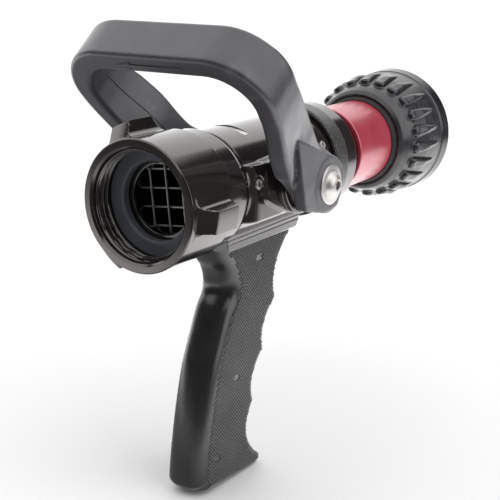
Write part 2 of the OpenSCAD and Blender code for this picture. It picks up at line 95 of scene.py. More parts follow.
GRIP_BOTTOM = low("pistol_grip")[2]
LEAN = math.radians(40)


# ---- meshes
def build(name, verts, faces, material, body, replaces=(), angle=32, normals=None):
    """A mesh piece from points in mm and arrays of faces, riding on a CAD body."""
    mesh = bpy.data.meshes.new(name)
    faces = [np.asarray(f, np.int64) for f in (faces if isinstance(faces, list) else [faces])]
    faces = [f for f in faces if len(f)]
    corners = np.concatenate([f.ravel() for f in faces])
    sizes = np.concatenate([np.full(len(f), f.shape[1]) for f in faces])
    mesh.vertices.add(len(verts))
    mesh.vertices.foreach_set("co", (np.asarray(verts) * MM).astype(np.float32).ravel())
    mesh.loops.add(len(corners))
    mesh.loops.foreach_set("vertex_index", corners.astype(np.int32))
    mesh.polygons.add(len(sizes))
    starts = np.concatenate([[0], np.cumsum(sizes)[:-1]])
    mesh.polygons.foreach_set("loop_start", starts.astype(np.int32))
    mesh.polygons.foreach_set("use_smooth", np.ones(len(sizes), bool))
    mesh.update(calc_edges=True)
    mesh.validate()
    if normals is None:
        mesh.set_sharp_from_angle(angle=math.radians(angle))
    else:
        mesh.normals_split_custom_set_from_vertices(normals.tolist())
    piece = bpy.data.objects.new(name, mesh)
    bpy.context.scene.collection.objects.link(piece)
    mesh.materials.append(material)
    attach(piece, body)
    if replaces:
        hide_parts(*replaces)


def join_parts(parts):
    """Several (verts, faces) parts as one."""
    verts, quads, start = [], {}, 0
    for v, faces in parts:
        for f in faces if isinstance(faces, list) else [faces]:
            f = np.asarray(f)
            if len(f):
                quads.setdefault(f.shape[1], []).append(f + start)
        verts.append(v)
        start += len(v)
    return np.concatenate(verts), [np.concatenate(q) for q in quads.values()]


def grid_faces(n_u, n_v, wrap_u=True, wrap_v=True):
    """Quads of an n_u by n_v grid of points."""
    u = np.arange(n_u if wrap_u else n_u - 1)
    v = np.arange(n_v if wrap_v else n_v - 1)
    u, v = (g.ravel() for g in np.meshgrid(u, v, indexing="ij"))
    u2, v2 = (u + 1) % n_u, (v + 1) % n_v
    return np.stack([u * n_v + v, u * n_v + v2, u2 * n_v + v2, u2 * n_v + v], 1)


CORNER_SHARE = 0.38
HOLD_SHARE, HOLD_GAP = 0.1, 0.25
NEARLY_STRAIGHT = 1.55


def fillet(points, radius=0.3, steps=3, closed=True):
    """Corners of an outline rounded. A point's third number is its own radius.

    A corner takes at most CORNER_SHARE of an edge, and a point close beyond it keeps the face flat.
    """
    out, n = [], len(points)
    for i, p in enumerate(points):
        r = p[2] if len(p) > 2 else radius
        here = np.array(p[:2], float)
        if r <= 0 or (not closed and i in (0, n - 1)):
            out.append(here)
            continue
        back = np.array(points[i - 1][:2], float) - here
        ahead = np.array(points[(i + 1) % n][:2], float) - here
        lb, la = np.hypot(*back), np.hypot(*ahead)
        back, ahead = back / lb, ahead / la
        half = math.acos(max(-1, min(1, float(back @ ahead)))) / 2
        if half > NEARLY_STRAIGHT:
            out.append(here)
            continue
        cut = min(r / math.tan(half), CORNER_SHARE * lb, CORNER_SHARE * la)
        a, b = here + back * cut, here + ahead * cut
        out.append(a + back * min(HOLD_GAP, HOLD_SHARE * lb))
        for k in range(steps + 1):
            t = k / steps
            out.append((1 - t) ** 2 * a + 2 * t * (1 - t) * here + t * t * b)
        out.append(b + ahead * min(HOLD_GAP, HOLD_SHARE * la))
    return np.array(out)


def around(x, r, angle):
    """Points at distance r from the flow axis, angle in radians from the top towards the right side."""
    return np.stack(np.broadcast_arrays(x, -r * np.sin(angle), r * np.cos(angle)), -1)


def circle(n):
    """n even angles round a circle."""
    return np.arange(n) * 2 * math.pi / n


def turned(profile, n=192, radius=0.2):
    """A solid of revolution about +X from its outline of (x, r) points."""
    outline = fillet(profile, radius)
    angle = circle(n)
    verts = around(outline[:, 0:1], outline[:, 1:2], angle[None, :]).reshape(-1, 3)
    quads = grid_faces(len(outline), n)
    area = np.sum(outline[:, 0] * np.roll(outline[:, 1], -1) - np.roll(outline[:, 0], -1) * outline[:, 1])
    return verts, quads if area < 0 else quads[:, ::-1]


def fanned(rings, n):
    """Faces of a stack of n-point rings, each end closed by a fan round one of the next two points."""
    k, k2 = np.arange(n), (np.arange(n) + 1) % n
    end, middle = (rings - 1) * n, rings * n
    return [grid_faces(rings, n, False), np.stack([k2, k, np.full(n, middle)], 1),
            np.stack([end + k, end + k2, np.full(n, middle + 1)], 1)]


def rod(half, r, n=20, radius=0.15):
    """A round rod along X from -half to half, its rims rounded."""
    outline = fillet([(-half, 0), (-half, r), (half, r), (half, 0)], radius, closed=False)
    ring = outline[1:-1]
    angle = circle(n)
    verts = around(ring[:, 0:1], ring[:, 1:2], angle[None, :]).reshape(-1, 3)
    return np.concatenate([verts, [[-half, 0, 0]], [[half, 0, 0]]]), fanned(len(ring), n)


def moved(part, matrix):
    """A (verts, faces) part moved by a 4 by 4 matrix in mm."""
    m = np.array(matrix)
    return part[0] @ m[:3, :3].T + m[:3, 3], part[1]


def prism(outline, x0, x1, bevel=0.4, ends=None):
    """An outline of (y, z) points, anticlockwise seen from +X, swept along X with bevelled ends."""
    outline = np.asarray(outline, float)
    n = len(outline)
    edge = np.roll(outline, -1, 0) - outline
    normal = np.stack([edge[:, 1], -edge[:, 0]], 1)
    normal /= np.linalg.norm(normal, axis=1)[:, None] + 1e-9
    corner = normal + np.roll(normal, 1, 0)
    corner /= np.maximum(np.sum(corner * corner, 1), 0.4)[:, None] / 2
    shapes = []
    for inset, x in ((bevel, x0), (bevel * 0.3, x0 + bevel * 0.3), (0, x0 + bevel),
                     (0, x1 - bevel), (bevel * 0.3, x1 - bevel * 0.3), (bevel, x1)):
        ring = outline - corner * inset
        shift = np.zeros(n) if ends is None or x < (x0 + x1) / 2 else ends(ring[:, 1])
        shapes.append(np.column_stack([x + shift, ring]))
    verts = np.concatenate(shapes)
    first = np.arange(n)[None, :]
    return verts, [grid_faces(len(shapes), n, False), first[:, ::-1], first + n * (len(shapes) - 1)]


# ---- distance fields
def smooth_min(a, b, k):
    """Two fields joined by a soft blend of width k."""
    h = share(0.5 + 0.5 * (b - a) / k)
    return b * (1 - h) + a * h - k * h * (1 - h)


def smooth_max(a, b, k):
    """What two fields share, their edge blended over a width k."""
    return -smooth_min(-a, -b, k)


def both(a, b, r):
    """What two fields share, its edge rounded by r."""
    u, v = a + r, b + r
    return np.minimum(np.maximum(u, v), 0) + np.hypot(np.maximum(u, 0), np.maximum(v, 0)) - r


def either(a, b, r):
    """Two fields joined by a hollow fillet r."""
    u, v = np.maximum(r - a, 0), np.maximum(r - b, 0)
    return np.maximum(r, np.minimum(a, b)) - np.hypot(u, v)


class Outline:
    """Distance to a polygon, negative inside, read from a fine grid."""

    def __init__(self, points, step=0.25):
        p = np.asarray(points, float)
        margin = 6
        self.lo, self.step = p.min(0) - margin, step
        n = np.ceil((p.max(0) + margin - self.lo) / step).astype(int) + 2
        gx = self.lo[0] + np.arange(n[0])[:, None] * step
        gy = self.lo[1] + np.arange(n[1])[None, :] * step
        best = np.full((n[0], n[1]), 1e9)
        inside = np.zeros((n[0], n[1]), bool)
        for a, b in zip(p, np.roll(p, -1, 0)):
            d = b - a
            t = share(((gx - a[0]) * d[0] + (gy - a[1]) * d[1]) / max(d @ d, 1e-12))
            best = np.minimum(best, (gx - a[0] - t * d[0]) ** 2 + (gy - a[1] - t * d[1]) ** 2)
            if a[1] != b[1]:
                crosses = (gy >= min(a[1], b[1])) & (gy < max(a[1], b[1]))
                inside ^= crosses & (gx < a[0] + (gy - a[1]) * d[0] / d[1])
        self.field = np.where(inside, -1, 1) * np.sqrt(best)

    def __call__(self, x, y):
        n = self.field.shape
        u = np.clip((x - self.lo[0]) / self.step, 0, n[0] - 1.001)
        v = np.clip((y - self.lo[1]) / self.step, 0, n[1] - 1.001)
        i, j = u.astype(int), v.astype(int)
        u, v, f = u - i, v - j, self.field
        return ((f[i, j] * (1 - u) + f[i + 1, j] * u) * (1 - v)
                + (f[i, j + 1] * (1 - u) + f[i + 1, j + 1] * u) * v)


def gradient(f, p, e):
    """Slope of a field at points p, from steps of e."""
    g = np.empty_like(p)
    for axis in range(3):
        step = np.zeros(3)
        step[axis] = e
        g[:, axis] = (f(p + step) - f(p - step)) / (2 * e)
    return g


def surface(f, lo, hi, h):
    """Points, quads and normals of the surface f = 0: a point in each cell of side h that it crosses."""
    block, batch, reach = 8, 1500, 1.6
    lo = np.array(lo, float)
    n = np.ceil((np.array(hi) - lo) / (h * block)).astype(int)
    cells = n * block
    blocks = np.stack(np.meshgrid(*[np.arange(k) for k in n], indexing="ij"), -1).reshape(-1, 3)
    near = np.abs(f(lo + (blocks + 0.5) * block * h)) < block * h * reach
    blocks = blocks[near]
    g = np.arange(block + 1)
    corner = np.stack(np.meshgrid(g, g, g, indexing="ij"), -1).reshape(-1, 3)
    ids, points, low_in, edges = [], [], [], []
    shifts = [(i, j, k) for i in (0, 1) for j in (0, 1) for k in (0, 1)]
    for start in range(0, len(blocks), batch):
        base = blocks[start:start + batch] * block
        where = base[:, None, :] + corner[None]
        value = f(lo + where.reshape(-1, 3) * h).reshape(len(base), block + 1, block + 1, block + 1)
        inside = value < 0
        part = [inside[:, i:i + block, j:j + block, k:k + block] for i, j, k in shifts]
        count = sum(q.astype(np.int8) for q in part)
        b, i, j, k = np.nonzero((count > 0) & (count < 8))
        cell = base[b] + np.stack([i, j, k], 1)
        v = {s: value[b, i + s[0], j + s[1], k + s[2]] for s in shifts}
        total, hits = np.zeros((len(b), 3)), np.zeros(len(b))
        for s in shifts:
            for axis in range(3):
                if s[axis]:
                    continue
                t = tuple(c + (q == axis) for q, c in enumerate(s))
                cross = (v[s] < 0) != (v[t] < 0)
                along = np.where(cross, v[s] / np.where(cross, v[s] - v[t], 1), 0)
                at = np.array(s, float)[None, :] * cross[:, None]
                at[:, axis] += along
                total += at
                hits += cross
        ids.append((cell[:, 0] * cells[1] + cell[:, 1]) * cells[2] + cell[:, 2])
        points.append(lo + (cell + total / hits[:, None]) * h)
        low_in.append(v[(0, 0, 0)] < 0)
        edges.append(np.stack([(v[(0, 0, 0)] < 0) != (v[tuple(int(q == a) for q in range(3))] < 0)
                               for a in range(3)], 1))
    ids, points = np.concatenate(ids), np.concatenate(points)
    low_in, edges = np.concatenate(low_in), np.concatenate(edges)
    order = np.argsort(ids)
    ids, points, low_in, edges = ids[order], points[order], low_in[order], edges[order]
    strides = np.array([cells[1] * cells[2], cells[2], 1])
    quads = []
    for a in range(3):
        u, w = strides[(a + 1) % 3], strides[(a + 2) % 3]
        at = np.nonzero(edges[:, a])[0]
        ring = np.stack([ids[at], ids[at] - u, ids[at] - u - w, ids[at] - w], 1)
        found = np.searchsorted(ids, ring)
        good = np.all(ids[np.minimum(found, len(ids) - 1)] == ring, 1)
        found, out = found[good], low_in[at][good]
        quads.append(np.where(out[:, None], found, found[:, ::-1]))
    quads = np.concatenate(quads)
    e = 0.1 * h

    def settle(p, rounds):
        """Points moved onto the surface."""
        for _ in range(rounds):
            d = f(p)
            g = gradient(f, p, e)
            move = (d / np.maximum(np.sum(g * g, 1), 0.2))[:, None] * g
            size = np.linalg.norm(move, axis=1)[:, None]
            p = p - move * np.minimum(1, 0.5 * h / np.maximum(size, 1e-9))
        return p

    points = settle(points, 2)
    a, b = quads.ravel(), np.roll(quads, -1, 1).ravel()
    count = len(points)
    for _ in range(2):
        degree = np.bincount(a, minlength=count) + np.bincount(b, minlength=count)
        mean = np.stack([np.bincount(a, points[b, c], count) + np.bincount(b, points[a, c], count)
                         for c in range(3)], 1) / np.maximum(degree, 1)[:, None]
        points = settle(points + 0.5 * (mean - points), 1)
    normal = gradient(f, points, 0.5 * e)
    return points, quads, normal / np.maximum(np.linalg.norm(normal, axis=1), 1e-9)[:, None]


# ---- materials
def material(name, colour, rough, metal=0.0, vary=0.35, scale=60, grain=0.1, grain_scale=900, ior=1.5,
             wear=0.0, wear_colour=(0.2, 0.2, 0.2), wear_scale=35, speck=None, spec=0.5, streak=None,
             rough_vary=0.1, tint=(1, 1, 1)):
    """A procedural finish: blotches of colour and gloss, fine grain, and light scuffs or specks."""
    m = bpy.data.materials.new(name)
    m.use_nodes = True
    tree = m.node_tree
    nodes, links = tree.nodes, tree.links
    bsdf = nodes["Principled BSDF"]
    bsdf.inputs["Metallic"].default_value = metal
    bsdf.inputs["Specular IOR Level"].default_value = spec
    bsdf.inputs["Specular Tint"].default_value = (*tint, 1)
    bsdf.inputs["IOR"].default_value = ior
    where = nodes.new("ShaderNodeTexCoord").outputs["Object"]
    if streak:
        stretch = nodes.new("ShaderNodeMapping")
        stretch.inputs["Scale"].default_value = streak
        links.new(where, stretch.inputs["Vector"])
        where = stretch.outputs["Vector"]

    def noise(size, detail=4.0, distortion=0.0):
        """Noise from 0 to 1 with size blotches to the metre."""
        t = nodes.new("ShaderNodeTexNoise")
        for socket, number in (("Scale", size), ("Detail", detail), ("Distortion", distortion)):
            t.inputs[socket].default_value = number
        links.new(where, t.inputs["Vector"])
        return t.outputs["Fac"]

    def remap(value, *limits):
        """A value stretched from the first two limits to the last two."""
        t = nodes.new("ShaderNodeMapRange")
        for socket, number in zip(("From Min", "From Max", "To Min", "To Max"), limits):
            t.inputs[socket].default_value = number
        links.new(value, t.inputs["Value"])
        return t.outputs["Result"]

    def mix(factor, first, second):
        """One colour turning into another as factor goes from 0 to 1."""
        t = nodes.new("ShaderNodeMix")
        t.data_type = "RGBA"
        links.new(factor, t.inputs["Factor"])
        for socket, c in ((6, first), (7, second)):
            if isinstance(c, tuple):
                t.inputs[socket].default_value = (*c, 1)
            else:
                links.new(c, t.inputs[socket])
        return t.outputs[2]

    lighter = tuple(c * (1 + vary) + 0.002 for c in colour)
    paint = mix(remap(noise(scale), 0.35, 0.7, 0, 1), colour, lighter)
    dull = min(1, rough * (1 + rough_vary))
    gloss = remap(noise(scale * 2.3, 6.0), 0.3, 0.7, rough * (1 - rough_vary), dull)
    if wear:
        scuff = remap(noise(wear_scale, 9.0, 1.6), 0.58, 0.78, 0, wear)
        paint = mix(scuff, paint, wear_colour)
    if speck:
        size, low_edge, high_edge, tone = speck
        dots = remap(noise(size, 1.0), low_edge, high_edge, 0, 1)
        paint = mix(dots, paint, tone)
    links.new(paint, bsdf.inputs["Base Color"])
    links.new(gloss, bsdf.inputs["Roughness"])
    bump = nodes.new("ShaderNodeBump")
    bump.inputs["Strength"].default_value = grain
    bump.inputs["Distance"].default_value = 0.0001
    links.new(noise(grain_scale, 2.0), bump.inputs["Height"])
    links.new(bump.outputs["Normal"], bsdf.inputs["Normal"])
    return m


FINISHES = {
    "black_anodised": dict(colour=(0.0060, 0.0048, 0.0044), rough=0.12, ior=1.75, vary=0.8, grain=0.05,
                           grain_scale=1500, wear=0.3, wear_colour=(0.022, 0.019, 0.017),
                           tint=(1.0, 0.94, 0.915)),
    # a lighter finish for the thread's crest: a painted highlight
    "painted_highlight_anodised": dict(colour=(0.13, 0.118, 0.112), rough=0.4, metal=0.3, vary=0.5, scale=200),
    "gasket_rubber": dict(colour=(0.085, 0.090, 0.108), rough=0.6, vary=0.2, grain=0.15, spec=0.3),
    "seal_rubber": dict(colour=(0.012, 0.012, 0.012), rough=0.5, grain=0.15),
    "stainless": dict(colour=(0.47, 0.455, 0.44), rough=0.42, metal=1.0, vary=-0.08, grain=0.12,
                      grain_scale=1200),
    "dark_steel": dict(colour=(0.10, 0.095, 0.09), rough=0.3, metal=0.9, vary=0.4),
    "seat_polymer": dict(colour=(0.42, 0.40, 0.36), rough=0.5, vary=-0.1),
    "ball_steel": dict(colour=(0.60, 0.58, 0.55), rough=0.15, metal=1.0, vary=-0.1, grain=0.05),
    "barrel_anodised": dict(colour=(0.008, 0.007, 0.007), rough=0.3, ior=1.75, vary=0.5),
    # a darker copy of the red anodising: painted shade in the groove behind the red sleeve
    "red_dark": dict(colour=(0.060, 0.005, 0.010), rough=0.35, metal=0.3, vary=0.3),
    "red_anodised": dict(colour=(0.30, 0.022, 0.042), rough=0.31, metal=0.15, vary=0.1, ior=1.9, grain=0.12,
                         grain_scale=1400),
    "saddle_grey": dict(colour=(0.17, 0.165, 0.165), rough=0.36, metal=0.8, vary=0.12, grain=0.2,
                        grain_scale=700, streak=(0.15, 1, 1)),
    "grip_polymer": dict(colour=(0.012, 0.0115, 0.012), rough=0.26, vary=0.4, ior=1.55, grain=0.08,
                         grain_scale=1100, wear=0.3, wear_colour=(0.03, 0.03, 0.03)),
    # the dots: a lighter copy of the grip polymer, painted sheen on the dotted panel
    "grip_dots": dict(colour=(0.062, 0.058, 0.061), rough=0.34, vary=0.3, ior=1.6, grain=0.08),
    "bail_polymer": dict(colour=(0.045, 0.042, 0.049), rough=0.36, vary=0.25, grain=0.35, grain_scale=1700,
                         wear=0.5, wear_colour=(0.13, 0.13, 0.135), wear_scale=28),
    "flow_ring_grey": dict(colour=(0.012, 0.011, 0.011), rough=0.4, vary=0.3, grain=0.5, grain_scale=1100,
                           speck=(1300, 0.56, 0.66, (0.09, 0.085, 0.085))),
    "bumper_rubber": dict(colour=(0.0125, 0.0110, 0.0140), rough=0.27, vary=0.5, scale=90, wear=0.6,
                          wear_colour=(0.06, 0.061, 0.066), wear_scale=60, rough_vary=0.25),
    "bumper_gloss": dict(colour=(0.010, 0.0105, 0.0120), rough=0.14, vary=0.5, grain=0.06, wear=0.5,
                         wear_colour=(0.05, 0.05, 0.055), wear_scale=80),
    "stop_ring_brown": dict(colour=(0.011, 0.007, 0.008), rough=0.6, spec=0.25, vary=0.3, grain=0.2),
    "tooth_polymer": dict(colour=(0.010, 0.010, 0.011), rough=0.45, vary=0.4, grain=0.15),
    "spring_steel": dict(colour=(0.4, 0.4, 0.39), rough=0.3, metal=1.0, vary=-0.15),
}
MATERIALS = {name: material(name, **finish) for name, finish in FINISHES.items()}
for part in frame["record"]["subparts"]:
    node = frame["nodes"][part["node"]]
    node.data.materials.clear()
    node.data.materials.append(MATERIALS[part["material_slot"]])


def piece(name, part, slot, body, replaces=(), angle=32, normals=None, finish=None):
    """A piece from a (verts, faces) part, in its slot's finish or in one of its own."""
    build(name, part[0], part[1], MATERIALS[finish or slot], body, replaces, angle, normals)


# ---- swivel coupling with its thread and lugs
def lug_outline():
    """A rocker lug's section as angles from its middle (degrees) and radii."""
    half, flank, foot, top = 5.5, 4.0, 32.6, 37.0
    arc = np.radians(np.linspace(0, 90, 7))
    w = np.concatenate([[0, 2.2, 4.2, half - 0.75, half - 0.5, half - 0.3, half - 0.25, half - 0.1],
                        half + flank * (1 - np.cos(arc)), [half + flank + 1.5]])
    r = np.concatenate([[top, top, top, top, top - 0.1, top - 0.35, top - 0.8, foot + 1.5],
                        foot - flank * np.sin(arc), [foot - flank - 1.5]])
    return np.degrees(np.arctan2(w, r)), np.hypot(w, r)


def swivel():
    """The coupling shell: each lug is where the barrel's radius swells, and the thread where it shrinks."""
    lug_at = [-24, 96, 216]
    lug_angle, lug_radius = lug_outline()
    fine = np.unique(np.round(np.concatenate([lug_angle[lug_angle < 17],
                                              [6.6, 7.0, 7.3, 7.6, 7.9, 8.2, 9.0, 9.5, 10.1, 17.5]]), 3))
    spread = np.unique(np.concatenate([fine, -fine]))
    angles = np.concatenate([spread + a for a in lug_at])
    gap = np.concatenate([np.arange(a + 19, a + 120 - 18.9, 1.3) for a in lug_at])
    angles = np.unique(np.round(np.mod(np.concatenate([angles, gap]), 360), 3))
    outer = fillet([(0.0, 26.6), (0.0, 29.4, 0.2), (0.6, 30.0, 0.2), (30.9, 30.0, 0.12),
                    (31.3, 28.5, 0.15), (SWIVEL_END - 3.2, 28.5, 0.8), (SWIVEL_END, 27.2, 0.5),
                    (SWIVEL_END, 24.6)], closed=False)
    steps = np.concatenate([[1.6, 2.6, 3.3], np.linspace(3.4, 8.1, 11), np.linspace(8.2, 9.0, 5),
                            np.linspace(10, 24, 9), np.linspace(24.2, 24.8, 4), np.linspace(25.1, 27.0, 7),
                            [27.2, 28, 29, 30.2]])
    outer = np.concatenate([outer[outer[:, 0] < 1.35], np.column_stack([steps, np.full(len(steps), 30.0)]),
                            outer[outer[:, 0] > 30.3]])
    inner = fillet([(SWIVEL_END, 24.6), (SWIVEL_END, 22.7), (18.6, 22.7), (17.5, 25.6), (13.4, 25.7),
                    (THREAD_DEPTH + 0.1, 25.5)], radius=0.2, closed=False)[1:]
    thread_x = np.linspace(THREAD_DEPTH, 1.5, 70)
    thread = np.column_stack([thread_x, np.full(len(thread_x), THREAD_R)])
    mouth = fillet([(1.3, 25.35), (0.9, 25.5, 0.2), (0.0, 26.5, 0.2), (0.0, 26.6)], closed=False)
    profile = np.concatenate([outer, inner, thread, mouth[:-1]])
    x, r = profile[:, 0:1], profile[:, 1:2]
    place = np.arange(len(profile))[:, None] - len(outer)
    on_outer = place < 0
    on_thread = (place >= len(inner)) & (place < len(inner) + len(thread))
    lug = np.zeros((1, len(angles)))
    for a in lug_at:
        away = np.abs((angles - a + 180) % 360 - 180)
        lug = np.maximum(lug, np.interp(away, lug_angle, lug_radius, right=0)[None, :])
    cap = np.interp(x, [3.3, 3.4, 8.2, 8.5, 9.0, 24.2, 24.7, 27.0, 27.2],
                    [20, 30.1, 36.55, 36.85, 37.0, 37.0, 36.6, 29.6, 20], left=0, right=0)
    radius = np.where(on_outer, np.maximum(r, np.minimum(lug, cap)), r + 0 * lug)
    turn = np.mod(x / THREAD_PITCH - angles[None, :] / 360, 1)
    crest = THREAD_HEIGHT * share((1 - 2 * np.abs(turn - 0.5) - 0.27) / 0.53)
    fade = share((x - 2.6) / 1.6) * share((THREAD_DEPTH - x - 1.2) / 1.5)
    radius = radius - np.where(on_thread, crest * fade, 0)
    verts = around(x, radius, np.radians(angles)[None, :]).reshape(-1, 3)
    return verts, grid_faces(len(profile), len(angles))


def thread_crest():
    """The crest of the hose thread, a narrow ribbon that winds along it, lighter than the shell: a painted
    highlight on the crest.
    """
    turns = np.linspace(4.0, THREAD_DEPTH - 2.4, 400) / THREAD_PITCH - 0.5
    corners = [(-0.24, 0.1), (-0.24, -0.03), (0.24, -0.03), (0.24, 0.1)]
    verts = np.stack([around(turns * THREAD_PITCH + THREAD_PITCH / 2 + x, THREAD_R - THREAD_HEIGHT + r,
                             turns * 2 * math.pi) for x, r in corners], 1).reshape(-1, 3)
    first = np.arange(4)[None, :]
    return verts, [grid_faces(len(turns), 4, False), first[:, ::-1], first + (len(turns) - 1) * 4]


piece("swivel_shell", swivel(), "black_anodised", "swivel", ["swivel_coupling"], 30)
# the crest ribbon's lighter finish is a painted highlight
piece("thread_crest", thread_crest(), "black_anodised", "swivel", finish="painted_highlight_anodised")
gasket_x = high("inlet_gasket")[0]
piece("hose_gasket", turned([(THREAD_DEPTH + 0.05, 19.0), (THREAD_DEPTH, 19.6), (THREAD_DEPTH, 24.9, 0.5),
                             (THREAD_DEPTH + 0.6, 25.5), (gasket_x, 25.5), (gasket_x, 18.1),
                             (THREAD_DEPTH + 0.8, 18.1, 0.5)], 160, 0.35),
      "gasket_rubber", "swivel", ["inlet_gasket"])

# ---- valve body
pad_lo, pad_hi = -14.0, 13.0
pad_plan = Outline(fillet([(47.5, -28.0, 8), (75, -28.0, 0), (75, 28, 0), (47.5, 28, 8)], steps=8))
crescent_r = 35.78
screw_x, screw_z = 55, 4
lock_x, lock_angles = 121, (math.radians(63), math.radians(-63))


def body_field(p):
    """The valve body: barrel, neck, rear stub, side pads, webs and hub bosses, less its bores and cuts."""
    x, y, z = p[:, 0], p[:, 1], p[:, 2]
    radius, side = np.hypot(y, z), np.abs(y)
    hub = np.hypot(x - HUB_X, z)
    barrel = both(np.abs(x - (48.2 + BODY_END) / 2) - (BODY_END - 48.2) / 2, radius - BODY_R, 0.7)
    neck = np.maximum(np.abs(x - 47.6) - 1.2, radius - 25.5)
    stub = both(np.abs(x - 33.0) - 15.2, radius - 22.45, 0.5)
    pads = both(pad_plan(x, y), np.abs(z - (pad_lo + pad_hi) / 2) - (pad_hi - pad_lo) / 2, 0.6)
    slope = np.maximum(-z - 16 + np.maximum(89 - x, 0) ** 1.5 * 0.072, z - 13 - (x - 61) * 0.1)
    web = both(both(slope, np.maximum(60 - x, x - HUB_X), 0.5), side - 29, 0.6)
    boss = both(hub - 16, side - BOSS_Y, 0.7)
    solid = np.minimum(np.minimum(barrel, neck), stub)
    solid = either(solid, either(pads, np.minimum(web, boss), 1.6), 0.6)
    bore = np.maximum(radius - BORE_R - 0.06 * np.clip(20.4 - x, 0, 3) ** 2, x - 70)
    cavity = np.maximum(radius - 22.2, 68 - x)
    crescent = np.maximum(np.maximum(np.abs(x - 67.6) - 1.8, crescent_r - np.hypot(y, z + 10)), 20 - z)
    trunnion = np.maximum(hub - 8, 12 - side)
    from_screw = np.hypot(x - screw_x, z - screw_z)
    screw = np.maximum(from_screw - 2.55, y + 20)
    ring = np.maximum(np.abs(from_screw - 3.2) - 0.4, y + 27.6)
    lock = np.minimum(*(np.maximum(np.hypot(x - lock_x, y * math.cos(a) + z * math.sin(a)) - 2.05,
                                   20 - (-y * math.sin(a) + z * math.cos(a))) for a in lock_angles))
    solid = both(solid, -bore, 0.4)
    solid = both(solid, -cavity, 0.3)
    solid = both(solid, -crescent, 0.25)
    cut = np.minimum(np.minimum(trunnion, screw), np.minimum(ring, lock))
    return both(solid, -cut, 0.3)


verts, quads, normals = surface(body_field, (16, -33, -28.5), (134, 33, 28.5), 0.6)
piece("valve_housing", (verts, quads), "black_anodised", "valve_body", ["valve_body"], normals=normals)


def index_mark():
    """The bare floor of the crescent cut on top of the body, a thin curved strip."""
    angle = np.radians(np.linspace(-28, 28, 41))
    reach = 10 * np.cos(angle)
    floor_r = -reach + np.sqrt(reach ** 2 + crescent_r ** 2 - 100)
    verts = np.concatenate([around(x, floor_r + up, angle)
                            for x, up in ((65.9, 0.08), (69.3, 0.08), (69.3, -0.4), (65.9, -0.4))])
    n = len(angle)
    quads = grid_faces(4, n, True, False)
    ends = np.array([[0, n, 2 * n, 3 * n], [4 * n - 1, 3 * n - 1, 2 * n - 1, n - 1]])
    return verts, [quads, ends]


piece("index_mark", index_mark(), "stainless", "valve_body")


def socket_head(rings, socket_r, bottom, end, n):
    """A screw about X from rings of (x, r), where r is a radius or (share, extra) of its hexagon socket."""
    angle = circle(n)
    hexagon = socket_r * math.cos(math.pi / 6) / np.cos(np.mod(angle, math.pi / 3) - math.pi / 6)
    stack = []
    for x, r in rings:
        radii = hexagon * r[0] + r[1] if isinstance(r, tuple) else np.full(n, r)
        stack.append(around(x, radii, angle))
    return np.concatenate(stack + [[[bottom, 0, 0]], [[end, 0, 0]]]), fanned(len(rings), n)


def set_screw(head, socket_r, depth, skirt):
    """A set screw about +X with its face at x = 0 and a hexagon socket in it."""
    rings = [(depth, (0.15, 0)), (depth * 0.9, (0.9, 0)), (depth * 0.85, (1, 0)), (0.12, (1, 0)),
             (0.0, (1, 0.15))]
    rings += [(0.0, (1 - t, 0.15 * (1 - t) + (head - 0.3) * t)) for t in (0.3, 0.6, 0.85)]
    rings += [(0.0, head - 0.25), (0.08, head - 0.08), (0.25, head), (skirt, head)]
    return socket_head(rings, socket_r, depth, skirt, 48)


def facing(point, direction):
    """A matrix that puts the origin at point and turns +X to direction."""
    d = Vector(direction).normalized()
    m = d.to_track_quat("X", "Z").to_matrix().to_4x4()
    m.translation = Vector(point)
    return m


screw_at = (screw_x, low("seat_lock_screw")[1] + 0.35, screw_z)
piece("side_set_screw", moved(set_screw(2.45, 1.3, 1.8, 6.2), facing(screw_at, (0, 1, 0))),
      "stainless", "valve_body", ["seat_lock_screw"])
locks = []
for a in lock_angles:
    out = Vector((0, -math.sin(a), math.cos(a)))
    locks.append(moved(set_screw(1.95, 1.0, 1.5, 4.0), facing(Vector((lock_x, 0, 0)) + out * 27.1, -out)))
piece("barrel_set_screws", join_parts(locks), "stainless", "valve_body", ["barrel_lock_screws"])

# ---- debris screen
wire_r, wire_pitch, bed = 0.54, 8.7, 0.7
screen_x = low("debris_screen")[0] + 0.55
wires = []
tilt = Matrix.Rotation(math.radians(-6), 4, "X")
for k in (-1, 0, 1, -1.5, -0.5, 0.5, 1.5):
    off = k * wire_pitch
    wire = rod(math.sqrt(BORE_R ** 2 - off ** 2) + bed, wire_r)
    if k == round(k):
        wires.append(moved(wire, tilt @ facing((screen_x, off, 0), (0, 0, 1))))
    else:
        wires.append(moved(wire, tilt @ facing((screen_x + 1.09, 0, off), (0, 1, 0))))
piece("debris_screen_wires", join_parts(wires), "stainless", "valve_body", ["debris_screen"])

# ---- saddle
saddle_top, saddle_bottom = -21.5, -29.5
groove = [(0, 0), (-0.3, -0.25), (-0.4, -0.6), (-0.3, -0.95), (0, -1.2)]
side = [(0, 0)] + [(y, z + start) for start in (-0.9, -3.0) for y, z in groove] + [(0, -7.2), (-0.9, -8.0)]
side = [(SADDLE_HALF + y, saddle_top + z) for y, z in side]
cradle = [(y, -math.sqrt(BODY_R ** 2 - y * y) + 0.02) for y in np.linspace(15.4, -15.4, 25)]
outline = [(-y, z) for y, z in side] + side[::-1] + [(15.7, saddle_top)] + cradle + [(-15.7, saddle_top)]


def saddle_front(z):
    """How far the rail's sloping front face reaches at height z."""
    return np.interp(z, [-29.5, -24.0, -21.5], [-4.6, 0.0, -2.4])


saddle = prism(outline, SADDLE_X0, SADDLE_X1, 0.3, saddle_front)
tang = prism([(-4, -52), (4, -52), (4, -28), (-4, -28)], 72, 96, 0.4)
piece("saddle_rail", join_parts([saddle, tang]), "saddle_grey", "valve_body", ["grip_saddle"], 25)

